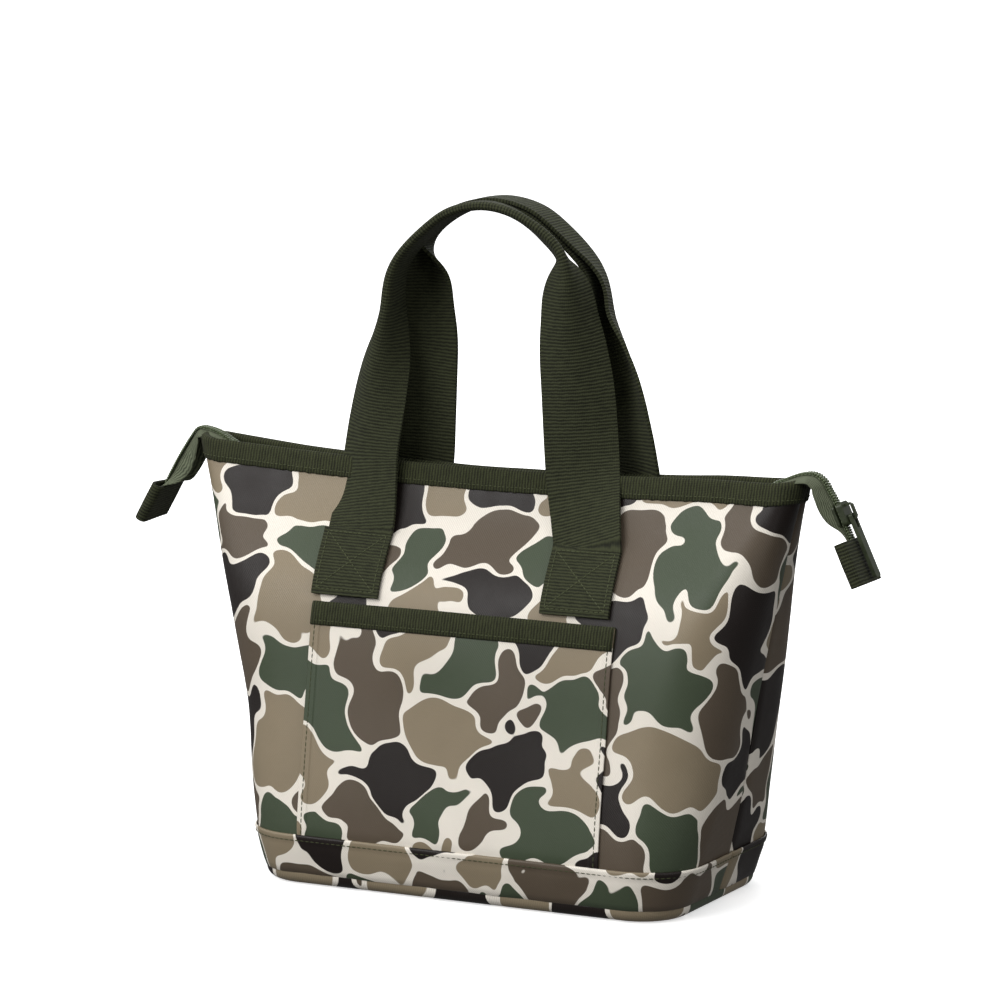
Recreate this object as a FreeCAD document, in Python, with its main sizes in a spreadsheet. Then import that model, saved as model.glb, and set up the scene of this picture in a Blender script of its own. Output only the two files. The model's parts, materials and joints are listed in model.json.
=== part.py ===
"""Insulated cooler tote bag, as a parametric FreeCAD document.

The bag is a soft box on a rounded rectangular base that narrows to a slit of a mouth. Three layers make
its walls: a printed outer shell, a foam sheet and a liner. A zip closes the mouth and runs out past both
ends as loose tails. Two webbing handles are sewn to the front and the back, and a pocket to the front.

Row frame: millimetres, +Z up, front towards -Y, origin at the centre of the base on the floor.
"""

import FreeCAD
import Part
import Sketcher
import os

from math import radians
from FreeCAD import Placement, Rotation, Vector

SHEET = "Dimensions"
LEVELS = ("base", "seam", "belly", "shoulder", "mouth")
FACES = {"front": -1, "back": 1}
SIDES = {"left": -1, "right": 1}

DIMENSIONS = {
    # The outer shell: height, half width, half depth and corner radius at each level.
    "base_height": 0.0,
    "base_half_width": 112.5,
    "base_half_depth": 60.0,
    "base_corner": 22.0,
    "seam_height": 27.0,
    "seam_half_width": 121.5,
    "seam_half_depth": 65.0,
    "seam_corner": 30.0,
    "belly_height": 88.0,
    "belly_half_width": 136.0,
    "belly_half_depth": 56.0,
    "belly_corner": 36.0,
    "shoulder_height": 147.0,
    "shoulder_half_width": 150.5,
    "shoulder_half_depth": 46.0,
    "shoulder_corner": 32.0,
    "mouth_height": 219.0,
    "mouth_half_width": 171.0,
    "mouth_half_depth": 12.8,
    "mouth_corner": 11.5,
    # Layers.
    "fabric": 0.8,
    "foam": 3.0,
    "foam_base": 4.0,
    "liner": 0.5,
    "layer_gap": 0.1,
    "side_seam_gap": 0.2,
    # Binding over the mouth's edge and over the pocket's edge.
    "binding": 0.9,
    "binding_height": 11.5,
    # Patch pocket: half width, half width of its loose middle, top edge and how far the middle stands out.
    "pocket_half_width": 85.0,
    "pocket_half_middle": 60.0,
    "pocket_foot": 27.3,
    "pocket_top": 147.0,
    "pocket_slack_foot": 0.1,
    "pocket_slack_belly": 4.0,
    "pocket_slack_top": 8.0,
    # Handles: webbing strip, its sewn ends, and the folded grip as an arc.
    "webbing_width": 38.0,
    "webbing": 1.9,
    "handle_half_span": 66.0,
    "sewn_foot": 148.5,
    "sewn_top": 181.2,
    "hinge_gap": 0.3,
    "handle_rise": 42.0,
    "handle_full_width_top": 276.0,
    "handle_upper_depth": 14.5,
    "grip_width": 19.0,
    "grip_thickness": 4.5,
    "grip_depth": 10.2,
    "grip_radius": 55.0,
    "grip_centre": 295.0,
    "grip_half_angle": 63.0,
    # Zip: tape and coil rows, the recessed run inside the mouth and the loose tails.
    "tape": 0.7,
    "tape_inner": 0.85,
    "tape_run_half": 6.6,
    "tape_tail_half": 12.5,
    "facing": 0.5,
    "facing_half_length": 133.0,
    "facing_half_width": 10.0,
    "coil_width": 2.0,
    "coil_height": 2.1,
    "coil_seat": 0.8,
    "zip_run_height": 212.5,
    "zip_end_height": 221.0,
    "zip_run_half": 135.0,
    "zip_ramp_half": 157.0,
    "hinge_left": 181.0,
    "hinge_right": 176.0,
    "tail_start": 0.3,
    "tail_coil_end": 33.5,
    "tail_tape_end": 39.0,
    "tab_start": 34.5,
    "tab_end": 55.0,
    "tab_low": -2.3,
    "tab_high": 3.1,
    "tab_half": 12.5,
    "droop_left": 60.0,
    "droop_right": 65.0,
    # Slider and pull.
    "slider_place": 21.5,
    "slider_half_length": 6.0,
    "slider_half_width": 4.6,
    "slider_low": -1.5,
    "slider_high": 4.1,
    "slider_corner": 2.2,
    "slider_roof": 3.1,
    "slider_floor": -0.4,
    "slider_flange": 1.1,
    "slider_channel": 3.6,
    "slider_divider": 0.5,
    "bridge_half_length": 4.5,
    "bridge_rise": 4.1,
    "bridge_wall": 1.3,
    "bridge_half_width": 0.9,
    "pull_seat": 1.8,
    "pull_axle": 5.5,
    "pull_length": 33.0,
    "pull_width": 5.5,
    "pull_thickness": 2.0,
    "pull_corner": 1.4,
    "pull_bar": 0.8,
    "pull_slot_end": 6.8,
    "pull_slot_half": 1.3,
    # Thread of the boxed crosses that hold the handles' ends.
    "stitch_margin": 3.0,
    "stitch_width": 0.6,
    "stitch_height": 0.4,
}

doc = FreeCAD.newDocument("CoolerTote")


def make_sheet():
    """The spreadsheet of driving dimensions, one alias a row."""
    sheet = doc.addObject("Spreadsheet::Sheet", SHEET)
    for row, (alias, value) in enumerate(DIMENSIONS.items(), 1):
        sheet.set(f"A{row}", alias)
        sheet.set(f"B{row}", str(value))
        sheet.setAlias(f"B{row}", alias)
    doc.recompute()


def dim(alias):
    """The expression that reads one cell."""
    return f"{SHEET}.{alias}"


def total(*terms):
    """The expression for a sum. A term is an alias or another expression."""
    return " + ".join(f"({dim(term) if term in DIMENSIONS else term})" for term in terms)


def between(quantity, height, lower, upper):
    """The expression for a wall quantity at a height, in line with its values at two levels."""
    low, high = dim(f"{lower}_{quantity}"), dim(f"{upper}_{quantity}")
    z_low, z_high = dim(f"{lower}_height"), dim(f"{upper}_height")
    return f"({low} + ({high} - {low}) * ({height} - {z_low}) / ({z_high} - {z_low}))"


def new_body(label):
    body = doc.addObject("PartDesign::Body", label)
    body.Label = label
    return body


def origin_plane(body, role):
    return next(item for item in body.Origin.OriginFeatures if item.Role == role)


def new_sketch(body, role, offset="0", label="Sketch"):
    """A sketch on one of the body's origin planes, moved along that plane's normal by an expression."""
    sketch = body.newObject("Sketcher::SketchObject", label)
    sketch.AttachmentSupport = (origin_plane(body, role), [""])
    sketch.MapMode = "FlatFace"
    sketch.setExpression("AttachmentOffset.Base.z", offset)
    return sketch


def bind(sketch, constraint, expression):
    """Adds a constraint and binds its value to an expression."""
    index = sketch.addConstraint(constraint)
    sketch.setExpression(f"Constraints[{index}]", expression)


def polygon(sketch, corners):
    """Closes a polygon through corners, each a pair of expressions for its place in the sketch."""
    count = len(corners)
    values = [tuple(evaluate(item) for item in corner) for corner in corners]
    for index in range(count):
        start, end = values[index], values[(index + 1) % count]
        sketch.addGeometry(Part.LineSegment(Vector(*start, 0), Vector(*end, 0)), False)
    for index, (across, along) in enumerate(corners):
        sketch.addConstraint(Sketcher.Constraint("Coincident", index, 2, (index + 1) % count, 1))
        start = values[index]
        bind(sketch, Sketcher.Constraint("DistanceX", -1, 1, index, 1, start[0]), across)
        bind(sketch, Sketcher.Constraint("DistanceY", -1, 1, index, 1, start[1]), along)
    return sketch


def evaluate(expression):
    """An expression's value now, so that a sketch starts where its constraints will hold it."""
    return float(doc.getObject(SHEET).evalExpression(expression))


def rectangle(sketch, low_x, high_x, low_y, high_y):
    return polygon(sketch, [(low_x, low_y), (high_x, low_y), (high_x, high_y), (low_x, high_y)])


def rounded_rectangle(sketch, half_x, half_y, radius, centre_x="0"):
    """Four lines and four quarter arcs round a centre on the sketch's own X axis."""
    hx, hy, r, cx = (evaluate(item) for item in (half_x, half_y, radius, centre_x))
    quarters = ((1, 1, 0), (-1, 1, 90), (-1, -1, 180), (1, -1, 270))
    for sx, sy, start in quarters:
        centre = Vector(cx + sx * (hx - r), sy * (hy - r), 0)
        circle = Part.Circle(centre, Vector(0, 0, 1), r)
        sketch.addGeometry(Part.ArcOfCircle(circle, radians(start), radians(start + 90)), False)
    ends = [sketch.Geometry[i].EndPoint for i in range(4)]
    starts = [sketch.Geometry[(i + 1) % 4].StartPoint for i in range(4)]
    for index in range(4):
        sketch.addGeometry(Part.LineSegment(ends[index], starts[index]), False)
    for index in range(4):
        sketch.addConstraint(Sketcher.Constraint("Tangent", index, 2, 4 + index, 1))
        sketch.addConstraint(Sketcher.Constraint("Tangent", 4 + index, 2, (index + 1) % 4, 1))
    sketch.addConstraint(Sketcher.Constraint("Horizontal", 4))
    sketch.addConstraint(Sketcher.Constraint("Vertical", 5))
    sketch.addConstraint(Sketcher.Constraint("Horizontal", 6))
    sketch.addConstraint(Sketcher.Constraint("Vertical", 7))
    for index in (1, 2):
        sketch.addConstraint(Sketcher.Constraint("Equal", 0, index))
    bind(sketch, Sketcher.Constraint("Radius", 0, r), radius)
    bind(sketch, Sketcher.Constraint("DistanceY", -1, 1, 4, 1, hy), half_y)
    bind(sketch, Sketcher.Constraint("DistanceY", 6, 1, -1, 1, hy), half_y)
    bind(sketch, Sketcher.Constraint("DistanceX", -1, 1, 7, 1, cx + hx), f"({centre_x}) + ({half_x})")
    bind(sketch, Sketcher.Constraint("DistanceX", -1, 1, 5, 1, cx - hx), f"({centre_x}) - ({half_x})")
    return sketch


def loft(body, sections, subtract=False):
    """A ruled loft through sections, added to the body or taken from it."""
    kind = "PartDesign::SubtractiveLoft" if subtract else "PartDesign::AdditiveLoft"
    feature = body.newObject(kind, "Loft")
    feature.Profile = sections[0]
    feature.Sections = sections[1:]
    feature.Ruled = True
    for section in sections:
        section.Visibility = False
    return feature


def pad(body, sketch, length, midplane=False):
    feature = body.newObject("PartDesign::Pad", "Pad")
    feature.Profile = sketch
    feature.setExpression("Length", length)
    feature.Midplane = midplane
    return feature


def pocket_through(body, sketch, midplane=False):
    """Cuts through everything on the far side of the sketch's normal, or on both sides of it."""
    feature = body.newObject("PartDesign::Pocket", "Pocket")
    feature.Profile = sketch
    feature.Type = 1
    feature.Midplane = midplane
    return feature


# ---------------------------------------------------------------------------------------------- walls


def wall_section(body, level, inset, height=None):
    """The wall's outline at a level, moved in by an expression, or out if it is negative."""
    sketch = new_sketch(body, "XY_Plane", height or dim(f"{level}_height"), f"{level}_outline")
    sizes = (f"{dim(level + suffix)} - ({inset})" for suffix in ("_half_width", "_half_depth", "_corner"))
    return rounded_rectangle(sketch, *sizes)


def rim_section(body, inset, height):
    """The wall's outline at a height near the mouth, in line with the shoulder and the mouth."""
    sketch = new_sketch(body, "XY_Plane", height, "rim_outline")
    quantities = ("half_width", "half_depth", "corner")
    sizes = (f"{between(item, f'({height})', 'shoulder', 'mouth')} - ({inset})" for item in quantities)
    return rounded_rectangle(sketch, *sizes)


def keep_face(body, side):
    """Cuts away the other face of a ring, back to the side seams."""
    sketch = new_sketch(body, "XY_Plane", total("mouth_height", "10"), "other_face")
    reach = total("mouth_half_width", "20")
    seam = f"{-side} * {dim('side_seam_gap')} / -2"
    far = f"{-side} * ({total('seam_half_depth', '20')})"
    low, high = (seam, far) if side < 0 else (far, seam)
    rectangle(sketch, f"-({reach})", reach, low, high)
    return pocket_through(body, sketch)


def make_wall_layer(label, side, levels, foot, outside, inside):
    """One face of one layer of the wall, from foot up, between two insets."""
    body = new_body(label)
    for inset, subtract in ((outside, False), (inside, True)):
        sections = [wall_section(body, levels[0], inset, foot)]
        sections += [wall_section(body, level, inset) for level in levels[1:]]
        loft(body, sections, subtract)
    keep_face(body, side)


def make_base_layer(label, inset, foot, thickness):
    body = new_body(label)
    pad(body, wall_section(body, "base", inset, foot), thickness)


def make_walls():
    shell_in = total("fabric")
    foam_out = total("fabric", "layer_gap")
    foam_in = total("fabric", "layer_gap", "foam")
    liner_out = total("fabric", "layer_gap", "foam", "layer_gap")
    liner_in = total("fabric", "layer_gap", "foam", "layer_gap", "liner")
    shell_foot = total("fabric", "layer_gap")
    foam_foot = total("fabric", "layer_gap", "foam_base", "layer_gap")
    liner_foot = total("fabric", "layer_gap", "foam_base", "layer_gap", "liner", "layer_gap")
    band_out = f"-({total('layer_gap', 'fabric')})"
    for face, side in FACES.items():
        make_wall_layer(f"outer_shell_{face}", side, LEVELS, shell_foot, "0", shell_in)
        make_wall_layer(f"foam_{face}", side, LEVELS, foam_foot, foam_out, foam_in)
        make_wall_layer(f"liner_{face}", side, LEVELS, liner_foot, liner_out, liner_in)
        make_wall_layer(f"base_band_{face}", side, LEVELS[:2], shell_foot, band_out, f"-{dim('layer_gap')}")
    make_base_layer("outer_base", band_out, "0", dim("fabric"))
    make_base_layer("foam_base", foam_out, shell_foot, dim("foam_base"))
    make_base_layer("liner_base", liner_out, foam_foot, dim("liner"))


def make_top_binding(face, side):
    """A folded tape over the rim: outer leg, top and inner leg."""
    body = new_body(f"top_binding_{face}")
    wall = total("fabric", "layer_gap", "foam", "layer_gap", "liner")
    outer_leg = f"-({total('layer_gap', 'binding')})"
    inner_leg = f"{wall} + {dim('layer_gap')}"
    under = total("mouth_height", "layer_gap")
    top = total("mouth_height", "layer_gap", "binding")
    hem = f"{top} - {dim('binding_height')}"
    steps = (
        (outer_leg, top, False),
        (f"-{dim('layer_gap')}", under, True),
        (inner_leg, under, False),
        (f"{inner_leg} + {dim('binding')}", top, True),
    )
    for inset, height, subtract in steps:
        loft(body, [rim_section(body, inset, hem), rim_section(body, inset, height)], subtract)
    keep_face(body, side)


# --------------------------------------------------------------------------------------------- pocket


def pocket_section(body, height, levels, slack, inner, outer):
    """A bowed strip in plan: sewn down at both sides, and standing out by slack over its middle."""
    wall = between("half_depth", f"({height})", *levels)
    edge, middle = dim("pocket_half_width"), dim("pocket_half_middle")
    across = (f"-{edge}", f"-{middle}", middle, edge)
    bow = ("0", slack, slack, "0")
    near = [(x, f"-({wall} + {inner} + {out})") for x, out in zip(across, bow)]
    far = [(x, f"-({wall} + {outer} + {out})") for x, out in zip(across, bow)]
    return polygon(new_sketch(body, "XY_Plane", height, "pocket_outline"), near + far[::-1])


def pocket_slack(height):
    """The slack at a height between the belly and the pocket's top."""
    low, high = dim("pocket_slack_belly"), dim("pocket_slack_top")
    rise = f"({dim('pocket_top')} - {dim('belly_height')})"
    return f"({low} + ({high} - {low}) * (({height}) - {dim('belly_height')}) / {rise})"


def make_pocket():
    gap, cloth, tape = dim("layer_gap"), dim("fabric"), dim("binding")
    inner = f"2 * {gap} + {tape} + {gap}"
    outer = f"{inner} + {cloth}"
    body = new_body("pocket_panel")
    stations = (
        (dim("pocket_foot"), ("seam", "belly"), dim("pocket_slack_foot")),
        (dim("belly_height"), ("seam", "belly"), dim("pocket_slack_belly")),
        (dim("pocket_top"), ("belly", "shoulder"), dim("pocket_slack_top")),
    )
    loft(body, [pocket_section(body, *station, inner, outer) for station in stations])

    body = new_body("pocket_binding")
    hem = f"{total('pocket_top', 'layer_gap', 'binding')} - {dim('binding_height')}"
    for near, far, top, subtract in (
        (f"2 * {gap}", f"{outer} + {gap} + {tape}", total("pocket_top", "layer_gap", "binding"), False),
        (f"2 * {gap} + {tape}", f"{outer} + {gap}", total("pocket_top", "layer_gap"), True),
    ):
        levels = ("belly", "shoulder")
        ends = [pocket_section(body, h, levels, pocket_slack(h), near, far) for h in (hem, top)]
        loft(body, ends, subtract)


# -------------------------------------------------------------------------------------------- handles


def front_wall(height):
    """The wall's half depth at a height above the shoulder."""
    return between("half_depth", f"({height})", "shoulder", "mouth")


def make_handle_end(face, side, hand, across):
    """The flat end of the strip, sewn down on the wall."""
    body = new_body(f"handle_end_{face}_{hand}")
    sketch = new_sketch(body, "YZ_Plane", f"{across} * {dim('handle_half_span')}", "strip_profile")
    near = f"2 * {dim('layer_gap')}"
    far = f"{near} + {dim('webbing')}"
    foot, top = dim("sewn_foot"), dim("sewn_top")
    corners = [
        (f"{side} * ({front_wall(foot)} + {near})", foot),
        (f"{side} * ({front_wall(foot)} + {far})", foot),
        (f"{side} * ({front_wall(top)} + {far})", top),
        (f"{side} * ({front_wall(top)} + {near})", top),
    ]
    polygon(sketch, corners)
    pad(body, sketch, dim("webbing_width"), midplane=True)


def strip_section(body, height, centre_x, centre_y, size_x, size_y):
    """A rectangle across the strip, in a level plane."""
    sketch = new_sketch(body, "XY_Plane", height, "strip_outline")
    low_x, high_x = (f"{centre_x} {sign} {size_x} / 2" for sign in "-+")
    low_y, high_y = (f"{centre_y} {sign} {size_y} / 2" for sign in "-+")
    return rectangle(sketch, low_x, high_x, low_y, high_y)


def grip_section(body, side):
    """The folded strip where the leg meets the arc: a rectangle square to the arc."""
    angle, radius = dim("grip_half_angle"), dim("grip_radius")
    level = f"{dim('grip_centre')} + {radius} * cos({angle} * 1deg)"
    sketch = new_sketch(body, "XY_Plane", level, "grip_outline")
    sketch.setExpression("AttachmentOffset.Base.x", f"{radius} * sin({angle} * 1deg)")
    sketch.setExpression("AttachmentOffset.Base.y", f"{side} * {dim('grip_depth')}")
    turned = Placement(sketch.AttachmentOffset.Base, Rotation(Vector(0, 1, 0), -1))
    sketch.AttachmentOffset = turned
    sketch.setExpression("AttachmentOffset.Rotation.Angle", f"90deg - {angle} * 1deg")
    thick, wide = dim("grip_thickness"), dim("grip_width")
    return rectangle(sketch, f"-{thick} / 2", f"{thick} / 2", f"-{wide} / 2", f"{wide} / 2")


def make_handle_loop(face, side):
    """The loose part of a handle: two legs that narrow into a folded grip bent over as an arc."""
    body = new_body(f"{face}_handle_loop")
    sketch = new_sketch(body, "YZ_Plane", "0", "grip_profile")
    wide, thick = dim("grip_width"), dim("grip_thickness")
    centre_y, top = f"{side} * {dim('grip_depth')}", f"{dim('grip_centre')} + {dim('grip_radius')}"
    rectangle(sketch, f"{centre_y} - {wide} / 2", f"{centre_y} + {wide} / 2",
              f"{top} - {thick} / 2", f"{top} + {thick} / 2")
    axis = sketch.addGeometry(Part.LineSegment(Vector(-1, 0, 0), Vector(1, 0, 0)), True)
    level = evaluate(dim("grip_centre"))
    sketch.addConstraint(Sketcher.Constraint("Horizontal", axis))
    bind(sketch, Sketcher.Constraint("DistanceX", -1, 1, axis, 1, -1.0), "-1")
    bind(sketch, Sketcher.Constraint("DistanceX", -1, 1, axis, 2, 1.0), "1")
    bind(sketch, Sketcher.Constraint("DistanceY", -1, 1, axis, 1, level), dim("grip_centre"))
    arc = body.newObject("PartDesign::Revolution", "GripArc")
    arc.Profile = sketch
    arc.ReferenceAxis = (sketch, ["Axis0"])
    arc.Midplane = True
    arc.setExpression("Angle", f"2 * {dim('grip_half_angle')} * 1deg")

    strip, width, rise = dim("webbing"), dim("webbing_width"), dim("handle_rise")
    start = total("sewn_top", "hinge_gap")
    hem = f"{total('mouth_height', 'layer_gap', 'binding')} - {dim('binding_height')} - 2"
    over = total("mouth_height", "layer_gap", "binding", "1")
    near = f"2 * {dim('layer_gap')}"
    clear = f"{total('layer_gap', 'binding')} + 4 * {dim('layer_gap')}"
    full = dim("handle_full_width_top")
    drop = f"({full} - {dim('sewn_top')})"
    stations = []
    for height, depth in (
        (start, f"({front_wall(start)} + {near} + {strip} / 2)"),
        (hem, f"({front_wall(hem)} + {clear} + {strip} / 2)"),
        (over, f"({front_wall(over)} + {clear} + {strip} / 2)"),
        (full, dim("handle_upper_depth")),
    ):
        lean = f"{rise} / 4 * (({height}) - {dim('sewn_top')}) / {drop}"
        place = f"({dim('handle_half_span')} - {lean})"
        stations.append(strip_section(body, height, place, f"{side} * {depth}", width, strip))
    leg = loft(body, stations + [grip_section(body, side)])
    doc.recompute()
    mirror = body.newObject("PartDesign::Mirrored", "OtherLeg")
    mirror.Originals = [leg]
    mirror.MirrorPlane = (origin_plane(body, "YZ_Plane"), [""])
    body.Tip = mirror


def thread_line(origin, along, outward, start, end):
    """A bar of thread between two points given as places across and along the strip."""
    bar, lift = evaluate(dim("stitch_width")), evaluate(dim("stitch_height"))
    first, last = (origin + Vector(across, 0, 0) + along * place for across, place in (start, end))
    run = (last - first).normalize()
    sideways = run.cross(outward).normalize() * (bar / 2)
    first, last = first - run * (bar / 2), last + run * (bar / 2)
    outline = [first - sideways, first + sideways, last + sideways, last - sideways, first - sideways]
    return Part.Face(Part.makePolygon(outline)).extrude(outward * lift)


def make_handle_stitching(face, side):
    """The thread of both boxed crosses on one face, laid on the strip's outer face."""
    foot, top = evaluate(dim("sewn_foot")), evaluate(dim("sewn_top"))
    depth_foot, depth_top = evaluate(front_wall(dim("sewn_foot"))), evaluate(front_wall(dim("sewn_top")))
    rise = Vector(0, -side * (depth_foot - depth_top), top - foot)
    length = rise.Length
    along = rise.normalize()
    outward = Vector(0, side * along.z, -side * along.y)
    surface = depth_foot + evaluate(f"3 * {dim('layer_gap')} + {dim('webbing')}")
    margin = evaluate(dim("stitch_margin"))
    half = evaluate(f"{dim('webbing_width')} / 2 - {dim('stitch_margin')}")
    low, high = margin, length - margin / 2
    corners = [(-half, low), (half, low), (half, high), (-half, high)]
    lines = [(corners[index], corners[(index + 1) % 4]) for index in range(4)]
    lines += [(corners[0], corners[2]), (corners[1], corners[3])]
    boxes = []
    for hand in SIDES.values():
        origin = Vector(hand * evaluate(dim("handle_half_span")), side * surface, foot)
        threads = [thread_line(origin, along, outward, *line) for line in lines]
        boxes.append(threads[0].multiFuse(threads[1:]).removeSplitter())
    feature = doc.addObject("Part::Feature", f"handle_stitching_{face}")
    feature.Label = f"handle_stitching_{face}"
    feature.Shape = Part.makeCompound(boxes)


# ------------------------------------------------------------------------------------------------ zip


def zip_run(label, side, low, high, near, far):
    """A strip along the mouth: recessed over its middle, and up over the rim at both ends.

    low and high are heights above the run's line, near and far the reach from the zip's centre.
    """
    body = new_body(label)
    sketch = new_sketch(body, "XZ_Plane", f"-({side}) * ({near} + {far}) / 2", "run_profile")
    stops = (
        (f"-{dim('hinge_left')}", dim("zip_end_height")),
        (f"-{dim('zip_ramp_half')}", dim("zip_end_height")),
        (f"-{dim('zip_run_half')}", dim("zip_run_height")),
        (dim("zip_run_half"), dim("zip_run_height")),
        (dim("zip_ramp_half"), dim("zip_end_height")),
        (dim("hinge_right"), dim("zip_end_height")),
    )
    under = [(x, f"{z} + {low}") for x, z in stops]
    over = [(x, f"{z} + {high}") for x, z in stops]
    polygon(sketch, under + over[::-1])
    pad(body, sketch, f"{far} - {near}", midplane=True)


def tail_placement(body, hand, reach="0", lift="0"):
    """Puts a body in a tail's own frame: X runs out along the tail, Z is its outer side, from the hinge."""
    across, droop = SIDES[hand], f"({dim('droop_' + hand)} * 1deg)"
    run = f"(({reach}) * cos({droop}) + ({lift}) * sin({droop}))"
    fall = f"(-({reach}) * sin({droop}) + ({lift}) * cos({droop}))"
    spot = f"vector({across} * ({dim('hinge_' + hand)} + {run}); 0; {dim('zip_end_height')} + {fall})"
    yaw = 0 if across > 0 else 180
    turn = f"rotation({yaw}deg; {droop}; 0deg)"
    body.setExpression("Placement", f"placement({spot}; {turn})")


def make_tail(hand):
    """One loose end of the zip: two tapes, two coil rows and the folded tab that holds their ends."""
    flip = SIDES[hand]
    inner = dim("tape_inner")
    strips = {
        "tape": (dim("tape_tail_half"), dim("tail_tape_end"), "0", dim("tape")),
        "coil": (total(inner, "coil_width"), dim("tail_coil_end"), dim("coil_seat"), dim("coil_height")),
    }
    for name, (outer, end, seat, thickness) in strips.items():
        for face, side in FACES.items():
            body = new_body(f"zip_{name}_{face}_{hand}_tail")
            ends = (f"{side * flip} * ({inner})", f"{side * flip} * ({outer})")
            low, high = ends if side * flip > 0 else ends[::-1]
            sketch = new_sketch(body, "XY_Plane", seat, "strip_outline")
            rectangle(sketch, dim("tail_start"), end, low, high)
            pad(body, sketch, thickness)
            tail_placement(body, hand)

    body = new_body(f"zip_tab_{hand}")
    sketch = new_sketch(body, "XZ_Plane", "0", "tab_profile")
    start, end, low, high = (dim(item) for item in ("tab_start", "tab_end", "tab_low", "tab_high"))
    floor, roof = f"-2 * {dim('layer_gap')}", f"{dim('tape')} + 2 * {dim('layer_gap')}"
    back = f"{dim('tail_tape_end')} + 5 * {dim('layer_gap')}"
    corners = [(start, low), (end, low), (end, high), (start, high),
               (start, roof), (back, roof), (back, floor), (start, floor)]
    polygon(sketch, corners)
    pad(body, sketch, f"2 * {dim('tab_half')}", midplane=True)
    tail_placement(body, hand)


def make_slider():
    """The slider: a block with a channel for each coil row, a slot each side for the tape, and a bridge."""
    body = new_body("zip_slider")
    low, high = dim("slider_low"), dim("slider_high")
    block = rounded_rectangle(new_sketch(body, "XY_Plane", low, "block_outline"),
                              dim("slider_half_length"), dim("slider_half_width"), dim("slider_corner"))
    pad(body, block, f"{high} - {low}")
    roof, floor, flange = dim("slider_roof"), dim("slider_floor"), dim("slider_flange")
    inner, outer, edge = dim("slider_divider"), dim("slider_channel"), f"{dim('slider_half_width')} + 1"
    for sign in (-1, 1):
        steps = ((inner, floor), (edge, floor), (edge, flange), (outer, flange), (outer, roof), (inner, roof))
        corners = [(f"{sign} * ({across})", height) for across, height in steps]
        sketch = polygon(new_sketch(body, "YZ_Plane", "0", "channel_profile"), corners)
        pocket_through(body, sketch, midplane=True)
    bridge = new_sketch(body, "XZ_Plane", "0", "bridge_profile")
    half, rise, wall = dim("bridge_half_length"), dim("bridge_rise"), dim("bridge_wall")
    sunk = f"{high} - 0.5"
    leg, top = f"{half} - {wall}", f"{high} + {rise}"
    under = f"{top} - {wall}"
    corners = [(f"-({half})", sunk), (f"-({leg})", sunk), (f"-({leg})", under), (leg, under), (leg, sunk),
               (half, sunk), (half, under), (leg, top), (f"-({leg})", top), (f"-({half})", under)]
    polygon(bridge, corners)
    pad(body, bridge, f"2 * {dim('bridge_half_width')}", midplane=True)
    tail_placement(body, "right", dim("slider_place"))


def make_pull():
    """The pull: a flat tab whose eye bar turns inside the slider's bridge."""
    body = new_body("zip_pull")
    length, bar = dim("pull_length"), dim("pull_bar")
    middle = f"({length} - {bar}) / 2"
    outline = new_sketch(body, "XY_Plane", f"-{dim('pull_thickness')} / 2", "pull_outline")
    half_length, half_width = f"({length} + {bar}) / 2", f"{dim('pull_width')} / 2"
    rounded_rectangle(outline, half_length, half_width, dim("pull_corner"), middle)
    pad(body, outline, dim("pull_thickness"))
    slot = new_sketch(body, "XY_Plane", dim("pull_thickness"), "slot_outline")
    half = dim("pull_slot_half")
    rectangle(slot, bar, dim("pull_slot_end"), f"-{half}", half)
    pocket_through(body, slot)
    reach = f"{dim('slider_place')} + {dim('pull_seat')}"
    tail_placement(body, "right", reach, dim("pull_axle"))


def make_facing(face, side):
    """The strip that joins one tape of the recessed run to the inside of the mouth."""
    body = new_body(f"zip_facing_{face}")
    half, far = dim("facing_half_length"), dim("facing_half_width")
    near = total("tape_run_half", f"2 * {dim('layer_gap')}")
    low, high = (f"-({far})", f"-({near})") if side < 0 else (near, far)
    sketch = new_sketch(body, "XY_Plane", dim("zip_run_height"), "strip_outline")
    rectangle(sketch, f"-{half}", half, low, high)
    pad(body, sketch, dim("facing"))


def make_zip():
    inner, seat = dim("tape_inner"), dim("coil_seat")
    for face, side in FACES.items():
        zip_run(f"zip_tape_{face}", side, "0", dim("tape"), inner, dim("tape_run_half"))
        zip_run(f"zip_coil_{face}", side, seat, f"{seat} + {dim('coil_height')}", inner,
                f"({inner} + {dim('coil_width')})")
        make_facing(face, side)
    for hand in SIDES:
        make_tail(hand)
    make_slider()
    make_pull()


# --------------------------------------------------------------------------------------------- output


def sub_parts():
    """Every object that is a sub-part: the bodies and the plain features that hold a shape of their own."""
    return [item for item in doc.Objects if item.TypeId in ("PartDesign::Body", "Part::Feature")]


def check():
    doc.recompute()
    failed = [item.Name for item in doc.Objects if {"Invalid", "Error"} & set(item.State)]
    failed += [item.Label for item in sub_parts() if item.Shape.isNull() or not item.Shape.isValid()]
    if failed:
        raise RuntimeError(f"these objects failed: {failed}")


def export():
    os.makedirs("parts", exist_ok=True)
    for item in sub_parts():
        solids = item.Shape.Solids
        item.Shape.exportStep(f"parts/{item.Label}.step")
        volume = sum(solid.Volume for solid in solids)
        print(f"{item.Label}: {len(solids)} solid(s), {volume:.0f} cubic mm")


make_sheet()
make_walls()
for face_name, face_side in FACES.items():
    make_top_binding(face_name, face_side)
    make_handle_loop(face_name, face_side)
    make_handle_stitching(face_name, face_side)
    for hand_name, hand_side in SIDES.items():
        make_handle_end(face_name, face_side, hand_name, hand_side)
make_pocket()
make_zip()
check()
export()
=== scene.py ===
"""Insulated cooler bag: its looks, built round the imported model.

Lengths here are in millimetres, in the bag's own frame, and become metres where a mesh is made. Every
soft piece follows one formula for the wall, so layers, pocket, straps and thread lie on each other.
"""

import bpy
import json
import math

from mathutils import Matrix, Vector, noise


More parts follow.
